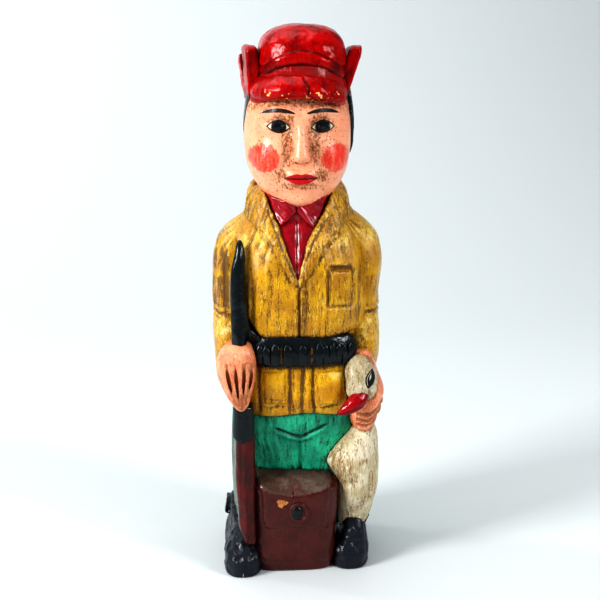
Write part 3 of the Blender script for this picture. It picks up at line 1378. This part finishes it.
def skirt_detail(x, y, z, normal):
    """Gouge cuts and upright folds, fading towards the hem."""
    cut = gouges(x, y, z, 4.4, 30, 101)
    front = ramp(-y, 28, 38)
    sway = 0.6 * noise(x, y, z, 9, 104)
    folds = bump(x + 8.2 + sway, 2.0) + bump(x - 0.6 + sway, 1.9) + bump(x - 8.6 + sway, 1.3)
    folds = folds + bump(x + 31, 1.6) + bump(x - 35, 1.5)
    ridges = bump(x + 3.8 + sway, 1.0) + bump(x - 5.1 + sway, 1.0)
    low_fold = bump(z - 128 - 0.8 * np.sin(x * 0.3), 1.1) * bump(np.abs(x - 0.5) - 19, 8)
    height = 0.6 * cut - 1.5 * folds * front + 1.1 * ridges * front - 0.8 * low_fold * front
    height = (height + 0.3 * noise(x, y, z, 12, 102)) * ramp(z, HEM - 2, HEM + 6)
    return height, 0.3 * beds(cut) + 0.6 * np.clip(folds + low_fold, 0, 1) * front


def skirt_pockets(x, y, z):
    right = outline(x, z, [(-27.8, 154.8), (-12.2, 155.2), (-11.4, 131.4), (-26.8, 130.8)])
    left = outline(x, z, [(11.4, 155), (30.4, 154), (29.6, 129), (12.6, 129.6)])
    return relief(jacket_skirt(x, y, z) - 1.9, np.minimum(right, left), 2.6, y + 30, 1)


def pocket_detail(x, y, z, normal):
    cut = gouges(x, y, z, 3.6, 18, 111)
    lower = bump(z - 129.5, 1.4) + bump(z - 133.5 + 0.06 * x, 0.8) * 0.7
    pale = 0.6 * bump(z - 152, 4) * ramp(x, 16, 24) + 0.5 * bump(z - 126, 3)
    return 0.3 * cut - 0.5 * lower, 0.25 * beds(cut) + 0.35 * np.clip(lower, 0, 1), pale


def chest_pocket(x, y, z):
    return relief(torso_front(x, y, z) - 1.3, outline(x, z, POCKET_PANEL), 2.2, y + 22, 1)


def chest_pocket_detail(x, y, z, normal):
    cut = gouges(x, y, z, 3.2, 20, 121)
    edge = ramp(outline(x, z, POCKET_PANEL), -1.6, -0.2)
    return 0.4 * cut, 0.4 * beds(cut) + 0.5 * edge


def jacket_placket(x, y, z):
    strip = outline(x, z, [(-0.9, 216), (2.9, 222), (2.5, 182), (-0.9, 182)])
    return relief(torso_front(x, y, z) - 0.7, strip, 1.2, y + 34, 1)


def placket_detail(x, y, z, normal):
    return -0.3 * np.abs(noise(x, y, z, (3, 3, 20), 131)), 0.5 + 0.25 * noise(x, y, z, (3, 3, 12), 132)


# ---- Hands, goose and rifle ---------------------------------------------------------------------

BARREL_PATH = [
    (-43.3, -33.5, 249.5), (-43.6, -36, 242), (-45, -38.5, 228), (-45.3, -40, 212), (-45.2, -41.5, 196),
    (-45, -43, 184), (-44.6, -44.5, 175),
]
# The black corner between the barrel and the belt.
CORNER = [
    (-47, 205), (-41.2, 203), (-39.6, 194), (-36, 186.5), (-30, 181.5), (-21, 179), (-16, 176), (-16, 172),
    (-47, 172),
]
BARREL_HALVES = [(1.4, 1.6), (3.2, 3), (4.4, 4), (4.8, 4.4), (4.9, 4.6), (5.0, 4.6), (4.6, 4.2)]


def rifle_barrel(x, y, z):
    """The barrel up to its muzzle, and the black corner beside it."""
    pipe = strand(x, y, z, BARREL_PATH, BARREL_HALVES, FORWARD, steps=9, blend=1.2)
    web = relief(torso_front(x, y, z) - 2.6, outline(x, z, CORNER), 3, y + 26, 2)
    return smooth_min(pipe, web, 8)


def barrel_detail(x, y, z, normal):
    return 0.35 * noise(x, y, z, (3.4, 4, 11), 141), 0


FIST = [
    (127.5, 2.6, 4, -44, -49.5),
    (133, 5.8, 7, -44.6, -49),
    (140, 8.9, 9.6, -45.6, -47.8),
    (148, 12.2, 11.8, -46.6, -46.4),
    (158, 14.3, 13.6, -47, -44.6),
    (168, 13.6, 13.6, -47, -42.6),
    (174, 10.8, 11.8, -46, -41),
    (178, 7.5, 9, -45, -39.5),
]
FINGER_CUTS = [
    [(-54.6, 164.5), (-53.2, 156), (-50.2, 143), (-48.2, 135)],
    [(-48.0, 165), (-47.6, 156), (-46.3, 142), (-45.2, 132)],
    [(-41.6, 165), (-42.0, 156), (-43.0, 142), (-43.6, 132)],
    [(-36.2, 164), (-36.9, 156), (-39.4, 144), (-41.4, 136)],
]
FINGER_CUT_HALVES = [(0.3, 0.4), (1.35, 2.2), (1.2, 2.2), (0.4, 0.9)]


def hand_right(x, y, z):
    """The hand that hangs over the rifle, with cuts between its fingers."""
    field = tower(x, y, z, FIST, 2.25, 4)
    for path in FINGER_CUTS:
        depth = -44.6 - 13.2 * math.sqrt(max(0.1, 1 - ((path[1][0] + 47) / 15.5) ** 2))
        middle = [(px, depth + 0.14 * (160 - pz), pz) for px, pz in path]
        groove = strand(x, y, z, middle, FINGER_CUT_HALVES, FORWARD)
        field = smooth_max(field, -groove, 0.5)
    return field


def skin_detail(x, y, z, normal):
    return 0.3 * noise(x, y, z, (5, 5, 7), 151) + 0.15 * noise(x, y, z, (2, 2, 4), 152), 0


def fist_detail(x, y, z, normal):
    height, stain = skin_detail(x, y, z, normal)
    front = ramp(-y, 42, 50)
    for path in FINGER_CUTS:
        stain = np.maximum(stain, 0.75 * scored(x, z, 1.5, *path) * front)
    return height, stain


def rifle_receiver(x, y, z):
    """The black part below the hand, which ends in a point on the stock."""
    point = 103 + 0.55 * np.abs(x + 43.2)
    levels = [(100, 7.4, 8, -42.6, -45), (112, 8.2, 8.6, -42.6, -45), (132, 7.6, 8.4, -42.4, -45)]
    return smooth_max(tower(x, y, z, levels, 3, 3), point - z, 1.5)


def rifle_stock(x, y, z):
    levels = [
        (22.5, 3.2, 5, -37.9, -49),
        (26, 4.6, 7, -38.6, -48.4),
        (32, 5.9, 8, -39.9, -47.8),
        (52, 6.8, 9, -40.8, -46.2),
        (70, 7.5, 9.2, -41.6, -45),
        (90, 7.5, 9.0, -41.5, -44.6),
        (104, 7.4, 8.4, -41.4, -44.4),
        (116, 6.8, 7.4, -42.2, -44.4),
    ]
    return tower(x, y, z, levels, 2.7, 3)


def stock_detail(x, y, z, normal):
    front = ramp(-y, 44, 50)
    ridge = bump(x + 41.4, 1.5) * front
    bed = (bump(x + 45, 1.9) + bump(x + 38, 1.6)) * front
    return 0.5 * ridge - 0.55 * bed + 0.3 * noise(x, y, z, (5, 5, 16), 161), 0.3 * np.clip(bed, 0, 1)


def goose_head(x, y, z):
    """The head with the root of its beak."""
    skull_of_goose = ball(x, y, z, (44.0, -41.5, 149), (11.6, 11.2, 17.5), (0, -14, 0), 2.15)
    return smooth_min(skull_of_goose, ball(x, y, z, (41, -46, 141), (8.5, 7.5, 8)), 4)


def goose_detail(x, y, z, normal):
    """Crossed knife cuts, smooth where the eye swells."""
    across, along = goose_eye_axes(x, z)
    reach = np.abs(across) + (along / EYE_LONG) ** 2 * EYE_WIDE - EYE_WIDE
    front = ramp(-y, 27, 31)
    cut = noise(x + 0.3 * z, y, z - 0.3 * x, (2.6, 3.4, 9), 171)
    hatch = noise(x * 0.5 + z, y, x - z * 0.3, (1.8, 5, 8), 172)
    off_eye = ramp(reach, 0.2, 1.6)
    rough = np.maximum(off_eye, 1 - front)
    patchy = ramp(noise(x, y, z, 7, 173), -0.5, 0.4)
    rubbed = 0.6 * np.clip(-cut - 0.1, 0, 1) + 0.7 * np.clip(hatch, 0, 1) * patchy
    return (0.35 * cut + 0.2 * hatch) * rough + 0.5 * (1 - off_eye) * front, rubbed * rough


BEAK_PATH = [
    (43.5, -49, 137.5), (40, -51.8, 134.5), (35.5, -53.6, 131.3), (30.5, -54.4, 128.4), (26.2, -54.4, 126),
]
BEAK_HALVES = [(5.4, 5.5), (6.2, 5.6), (5.2, 4.8), (3.5, 3.4), (1.4, 1.6)]


def goose_beak(x, y, z):
    return strand(x, y, z, BEAK_PATH, BEAK_HALVES, FORWARD, steps=5, blend=0.5)


def beak_detail(x, y, z, normal):
    mouth = scored(x, z, 0.8, (25, 124.8), (31, 127.2), (37, 129.5), (43, 131.5)) * ramp(-y, 50, 54)
    return -0.6 * mouth + 0.15 * noise(x, y, z, 4, 181), 0.8 * mouth


GRIP = [
    (105, 3, 5, 48, -34),
    (109, 6.8, 10, 46.2, -34),
    (114, 9.6, 13.5, 46.6, -32.5),
    (121.6, 11.8, 15.5, 48.2, -31),
    (130, 12.8, 16, 49.2, -30),
    (138, 12.8, 16, 49.2, -29),
    (150, 11.2, 15, 46.8, -29),
    (160, 9.8, 13.6, 44.9, -30),
    (168, 6.6, 10, 44.4, -31),
]
GRIP_CUTS = [
    [(62.5, 133), (57.5, 126), (50, 121.5), (41, 121.5)],
    [(61, 126), (55, 119.5), (48.5, 116), (41.5, 117.2)],
    [(57.5, 118.5), (52, 113.6), (46.5, 111.8), (42, 113.4)],
]


def hand_left(x, y, z):
    field = tower(x, y, z, GRIP, 2.2, 4)
    return smooth_max(field, -(goose_head(x, y, z) + 1.5), 1)


def grip_detail(x, y, z, normal):
    """The cuts between the fingers that hold the goose."""
    height, stain = skin_detail(x, y, z, normal)
    front = ramp(-y, 20, 30)
    for path in GRIP_CUTS:
        line = line_distance(x, z, path)
        height = height - 1.8 * bump(line, 1.2) * front
        stain = np.maximum(stain, 1.6 * bump(line, 1.2) * front)
    return height, stain


GOOSE_BODY = [
    (27, 7.5, 8, 37.8, -29),
    (32, 10.8, 11, 39.6, -28),
    (38, 12.6, 13, 41.0, -27),
    (46, 14.0, 16.5, 41.8, -26),
    (57, 15.4, 21, 42.8, -26),
    (68, 16.3, 23, 43.0, -26),
    (75, 18.3, 24, 40.9, -26),
    (81.5, 20.0, 24, 39.2, -26),
    (88, 18.6, 23, 40.1, -26),
    (95, 15.9, 20, 42.6, -26.5),
    (101, 12.9, 17, 45.4, -27),
    (108, 8.2, 12, 47.6, -28.5),
    (115, 4, 7, 48.4, -30),
]


def goose_body(x, y, z):
    return tower(x, y, z, GOOSE_BODY, 2.3, 4)


def goose_body_detail(x, y, z, normal):
    cut = gouges((x - 40) * 1.3 + (z - 60) * 0.12, (y + 25) * 1.3, z, 4.4, 30, 191)
    patch = ramp(x + 0.35 * (z - 80), 42, 22) * ramp(z, 58, 76)
    return 0.65 * cut + 0.4 * noise(x, y, z, 10, 192), 0.5 * beds(cut) + 0.42 * patch


# ---- Trousers, bag and boots --------------------------------------------------------------------

TROUSERS = [
    (26, 48.5, 32, 0, 5),
    (50, 50, 34.5, 0, 4),
    (90, 50.4, 37, 0, 2),
    (112, 49.6, 39.5, 0, 0.5),
    (HEM + 4, 48, 40, 0, 0),
]
CROTCH = [(-20, 109.5), (-0.4, 101.6), (19, 112)]


def trousers(x, y, z):
    """Both legs in one, parted by a shallow valley in front."""
    field = tower(x, y, z, TROUSERS, 3.0, 2.5)
    parting = bump(x + 0.8, 2.6) * ramp(z, 103, 98)
    return field + 2.4 * parting


def trousers_detail(x, y, z, normal):
    front = ramp(-y, 20, 30)
    cut = gouges(x, y, z, 4.2, 40, 201)
    crease = scored(x, z, 1.05, *CROTCH) * front * ramp(np.abs(x), 22, 16)
    lip = scored(x, z + 3.0, 1.6, *CROTCH) * front * ramp(np.abs(x), 22, 14)
    height = 0.75 * cut - 2.0 * crease + 0.9 * lip + 0.3 * noise(x, y, z, 14, 202)
    return height, 0.5 * beds(cut) + 0.85 * crease


def bag_lid_height(x, y):
    """The bag's top: it slopes down to the front and sags in its middle."""
    dish = np.clip(1 - ((x - BAG_X) / BAG_HALF) ** 2, 0, 1)
    return BAG_TOP + 3.4 - 0.16 * (-y - 34) - (2.2 + BAG_SAG * dish) * ramp(-y, 38, 55) - 0.04 * x


def bag_body(x, y, z):
    levels = [
        (0, 28.4, 14.4, -5.8, -36.4),
        (3, 29.4, 15.4, -5.8, -36.2),
        (30, 31.6, 16.2, -5.6, -36.4),
        (58, 32.6, 16.9, -5.2, -36.6),
        (BAG_TOP + 12, 32.6, 16.8, -5, -36.4),
    ]
    wall = tower(x, y, z, levels, 3.6, 2)
    return smooth_max(wall, (z - bag_lid_height(x, y) + 2.4) * 0.9, 3)


def bag_detail(x, y, z, normal):
    height = 0.4 * noise(x, y, z, (12, 9, 15), 211) + 0.12 * noise(x, y, z, (4, 4, 5), 212)
    fold = scored(x, z, 1.6, (-29, 9), (-10, 6.5), (8, 7.5), (22, 6)) * ramp(-y, 44, 50)
    return (height - 0.5 * fold) * ramp(z, 0.5, 4), 0.15 * fold


CHIP = (-15.2, 56.6)


def chip_reach(x, z):
    """How far a place is from the middle of the flap's chip, 1 on its edge."""
    u, w = (x - CHIP[0]) / 4.4, (z - CHIP[1]) / 3.4
    ragged = 1 + 0.18 * np.sin(3 * np.arctan2(w, u) + 1) + 0.10 * np.sin(7 * np.arctan2(w, u))
    return np.hypot(u, w) / ragged


def bag_flap(x, y, z):
    """The flap over the bag's front and top, a shell about 4 mm thick."""
    high = BAG_TOP + 14
    plan = outline(x, z, [(-35, high), (25, high), (20.5, FLAP_BOTTOM - 1), (-29.5, FLAP_BOTTOM)])
    levels = [(FLAP_BOTTOM - 8, 32.8, 18.4, -5.4, -36.4), (high, 33.6, 18, -5.1, -36.4)]
    over = tower(x, y, z, levels, 3.6, 1) + 0.9 * ramp(z, FLAP_BOTTOM + 12, FLAP_BOTTOM)
    lid = (z - bag_lid_height(x, y)) * 0.9
    field = smooth_max(smooth_max(over, plan, 7), lid, 3.2)
    inside = smooth_max(over + 4, lid + 4, 2)
    return smooth_max(smooth_max(field, -inside, 1), y + 24, 1)


def flap_detail(x, y, z, normal):
    on_top = np.clip(normal[:, 2], 0, 1)
    dents = 0.35 * noise(x, y, z, (9, 7, 9), 221) + (0.15 + 0.35 * on_top) * noise(x, y, z, 3.5, 222)
    crack = scored(x, z, 0.5, (-6.4, 64.5), (-6.8, 60.0)) * ramp(-y, 48, 52)
    chip = ramp(chip_reach(x, z), 1.05, 0.85) * ramp(-y, 44, 50)
    rough = noise(x, y, z, 1.8, 223)
    return dents - 0.7 * crack - chip * (0.9 + 0.4 * rough), crack, 1.3 * chip


def bag_clasp(x, y, z):
    """A ring, a little taller than wide and thinner than deep."""
    return np.hypot(np.hypot(x + 2.6, (z - 49) * 0.95) - 6.2, (y + 54.6) * 1.1) - 1.5


def bag_button(x, y, z):
    return ball(x, y, z, (-4.4, -54.4, 48.9), (4.3, 2.4, 5.5), (0, 12, 0), 2.3)


def boot(middle_x, toe_y, instep, tab):
    """A boot: a round toe that swells over the sole, a high instep, a tapering heel and a pull tab."""

    def field(x, y, z):
        toe = ball(x, y, z, (middle_x, toe_y + 21, 6.5), (14.6, 21.5, 16), power=2.5)
        over_foot = ball(x, y, z, *instep, power=2.5)
        levels = [(-3, 13.6, 25, 0, 10), (8, 12.8, 25, 0, 10), (17, 9.8, 23.5, 0, 10), (34, 8.6, 21, 0, 10)]
        heel = tower(x - middle_x, y, z, levels, 3, 3)
        body = smooth_min(smooth_min(toe, over_foot, 6), heel, 6)
        body = smooth_min(body, block(x, y, z, *tab), 2.4)
        return smooth_max(body, -z, 1.6)

    return field


def boot_detail(seed, middle_x, toe_y, split_toe):
    """Gouge cuts, a crease behind the toe and, on one boot, a split in the toe down to the wood."""

    def detail(x, y, z, normal):
        crease = bump(np.hypot(x - middle_x, (y - toe_y - 8) * 0.9) - 13, 1.0)
        crease = crease * ramp(z, 8, 15) * ramp(-y, 20, 30)
        cuts = 1 - 2 * np.abs(noise(x, y, z, (6, 9, 5), seed))
        small = noise(x, y, z, (2.6, 4, 2.6), seed + 1)
        scratches = bump(noise(x * 0.7 + z * 0.7, y, z * 0.4, (2.5, 9, 6), seed + 2), 0.12)
        height = 0.75 * cuts + 0.16 * small - 0.7 * crease - 0.25 * scratches - 0.7
        split = bump(x - middle_x + 0.3, 0.45) * ramp(z, 9, 6) * ramp(-y, 45, 52)
        split = split * ramp(noise(x, y, z, 1.6, 5), -0.2, 0.2) * split_toe
        return height * ramp(z, 0.3, 2.5), 0.3 * crease, 1.3 * split

    return detail


# Each boot's middle and the front of its toe.
RIGHT_BOOT = (-44, -60)
LEFT_BOOT = (36.6, -52)
boot_right = boot(
    *RIGHT_BOOT, [(-43.5, -28, 10), (11.5, 26, 19)], [(-54.4, 22, 24), (2.0, 4.6, 7.5), 1.4, (0, 8, 0)]
)
boot_left = boot(
    *LEFT_BOOT, [(40.2, -30, 15), (11, 18, 25)], [(48.6, -20, 30.2), (4.6, 4.8, 4.0), 1.2, (0, 24, 0)]
)
ear_flap_right = flap(-1, 35.2, 37.2, 385.5, 5.2)
ear_flap_left = flap(1, 34.4, 45.4, 385.0, 5.6)

# A piece comes after the ones that it is beside.
carve("head", head, 0.75, FACE, head_detail)
carve("hair", hair, 0.95, BLACK, hair_detail)
carve("cap_crown", cap_crown, 0.95, CAP_RED, cap_detail)
carve("cap_band", cap_band, 0.85, CAP_RED, cap_detail, ["cap_crown"])
carve("cap_base", cap_base, 0.95, CAP_DUSTY, cap_detail, ["cap_band"])
carve("cap_visor", cap_visor, 0.8, CAP_RED, visor_detail, ["cap_base"])
carve("ear_flap_right", ear_flap_right, 0.8, CAP_RED, ear_flap_detail(-1), ["cap_base"])
carve("ear_flap_left", ear_flap_left, 0.8, CAP_RED, ear_flap_detail(1), ["cap_base"])
carve("neck_flap", neck_flap, 0.9, CAP_PINK, neck_flap_detail)
carve("sleeve_left", sleeve_left, 0.75, YELLOW, sleeve_detail(1), wear=0.5)
carve("sleeve_right", sleeve_right, 0.75, YELLOW, sleeve_detail(-1), wear=0.5)
carve("collar", collar, 0.7, YELLOW, collar_detail, wear=0.5)
carve("shirt", shirt, 0.8, SHIRT_RED, shirt_detail, ["collar"])
carve("shirt_collar", shirt_collar, 0.55, SHIRT_RED, wing_detail, ["collar"])
carve("rifle_barrel", rifle_barrel, 0.7, BLACK, barrel_detail)
carve("belt", belt, 0.85, BLACK, belt_detail)
carve("belt_cartridges", belt_cartridges, 0.55, BLACK)
carve("hand_right", hand_right, 0.6, SKIN, fist_detail)
carve("goose_head", goose_head, 0.6, CREAM_HEAD, goose_detail)
carve("goose_beak", goose_beak, 0.55, BEAK_RED, beak_detail)
carve("hand_left", hand_left, 0.65, SKIN, grip_detail, ["goose_head"])
carve(
    "jacket_torso", jacket_torso, 0.8, YELLOW, jacket_detail, ["belt", "rifle_barrel"],
    wear=0.5,
)
carve("chest_pocket", chest_pocket, 0.65, YELLOW, chest_pocket_detail)
carve("jacket_placket", jacket_placket, 0.6, YELLOW, placket_detail)
carve(
    "jacket_skirt", jacket_skirt, 0.75, SKIRT_YELLOW, skirt_detail,
    ["belt", "hand_right", "goose_head"],
)
carve("skirt_pockets", skirt_pockets, 0.65, SKIRT_YELLOW, pocket_detail)
carve("rifle_receiver", rifle_receiver, 0.65, BLACK, barrel_detail, ["hand_right"])
carve("rifle_stock", rifle_stock, 0.75, STOCK_BROWN, stock_detail)
carve("goose_body", goose_body, 0.85, CREAM, goose_body_detail, ["hand_left"])
carve("bag_body", bag_body, 0.85, BAG_BROWN, bag_detail)
carve("bag_flap", bag_flap, 0.75, BAG_BROWN, flap_detail)
carve("bag_clasp", bag_clasp, 0.45, BAG_BROWN)
carve("bag_button", bag_button, 0.45, BLACK)
carve("boot_right", boot_right, 0.85, BOOT_BLACK, boot_detail(231, *RIGHT_BOOT, True))
carve("boot_left", boot_left, 0.85, BOOT_BLACK, boot_detail(241, *LEFT_BOOT, False))
carve(
    "trousers", trousers, 0.8, GREEN, trousers_detail,
    ["jacket_skirt", "rifle_stock", "goose_body", "bag_flap", "hand_left"],
)

# ---- Camera, floor and light --------------------------------------------------------------------
# The camera is in millimetres like the figure; the sweep and the lamps are in metres.

CAMERA_DISTANCE = 850
CAMERA_HEIGHT = 420
CAMERA_TURN = math.radians(-4)
AIM = (2, 197.4)
FOCAL = 70.02


def facing(way):
    """The turn that points a camera or a lamp a given way."""
    return Vector(way).to_track_quat("-Z", "Y").to_euler()


scene = bpy.context.scene
camera_data = bpy.data.cameras.new("camera")
camera = bpy.data.objects.new("camera", camera_data)
scene.collection.objects.link(camera)
camera_data.sensor_width = 36
camera_data.lens = FOCAL
camera_data.clip_start = 0.02
camera_data.clip_end = 30
target = np.array((AIM[0], AXIS_Y, AIM[1]))
spot = np.array((
    AIM[0] + CAMERA_DISTANCE * math.sin(CAMERA_TURN),
    AXIS_Y - CAMERA_DISTANCE * math.cos(CAMERA_TURN),
    CAMERA_HEIGHT,
))
camera.location = spot * MM
camera.rotation_euler = facing(target - spot)
scene.camera = camera

FLOOR_HALF = 4.0
SWEEP_Y = 0.6
SWEEP_RADIUS = 1.8
SWEEP_HEIGHT = 4.0
SWEEP_COLOUR = (0.60, 0.628, 0.635, 1)


def sweep():
    """The pale floor, curving up behind into the backdrop."""
    profile = [(-FLOOR_HALF, 0.0)]
    profile += [
        (SWEEP_Y + SWEEP_RADIUS * math.sin(a), SWEEP_RADIUS * (1 - math.cos(a)))
        for a in np.linspace(0, math.pi / 2, 24)
    ]
    profile.append((SWEEP_Y + SWEEP_RADIUS, SWEEP_HEIGHT))
    points = [(x, y, z) for y, z in profile for x in (-FLOOR_HALF, FLOOR_HALF)]
    faces = [(2 * i, 2 * i + 1, 2 * i + 3, 2 * i + 2) for i in range(len(profile) - 1)]
    mesh = bpy.data.meshes.new("sweep")
    mesh.from_pydata(points, [], faces)
    mesh.polygons.foreach_set("use_smooth", np.ones(len(faces), bool))
    made = bpy.data.objects.new("sweep", mesh)
    scene.collection.objects.link(made)
    material = bpy.data.materials.new("sweep_paper")
    material.use_nodes = True
    shader = material.node_tree.nodes["Principled BSDF"]
    shader.inputs["Base Color"].default_value = SWEEP_COLOUR
    shader.inputs["Roughness"].default_value = 0.6
    mesh.materials.append(material)
    return made


sweep()


def softbox(name, where, size, power, at=(0, 0, 0.2)):
    """A white rectangular lamp that faces a point, on the figure unless another is given."""
    data = bpy.data.lights.new(name, "AREA")
    data.shape = "RECTANGLE"
    data.size, data.size_y = size
    data.energy = power
    lamp = bpy.data.objects.new(name, data)
    lamp.location = where
    lamp.rotation_euler = facing(Vector(at) - Vector(where))
    scene.collection.objects.link(lamp)


softbox("left_softbox", (-1.25, -0.62, 0.85), (0.42, 0.62), 18)
softbox("right_softbox", (1.05, -0.75, 0.85), (0.38, 0.6), 8.5)
softbox("top_softbox", (-0.25, 0.15, 1.7), (1.2, 1.2), 7)
softbox("backdrop_lamp", (-1.4, 0.6, 1.8), (0.8, 0.8), 30, at=(0.0, 2.4, 1.9))

world = bpy.data.worlds.new("studio")
scene.world = world
world.use_nodes = True
sky = world.node_tree.nodes["Background"]
sky.inputs["Color"].default_value = (0.93, 0.97, 1.0, 1)
sky.inputs["Strength"].default_value = 0.24
scene.view_settings.view_transform = "Standard"
scene.view_settings.look = "Very High Contrast"
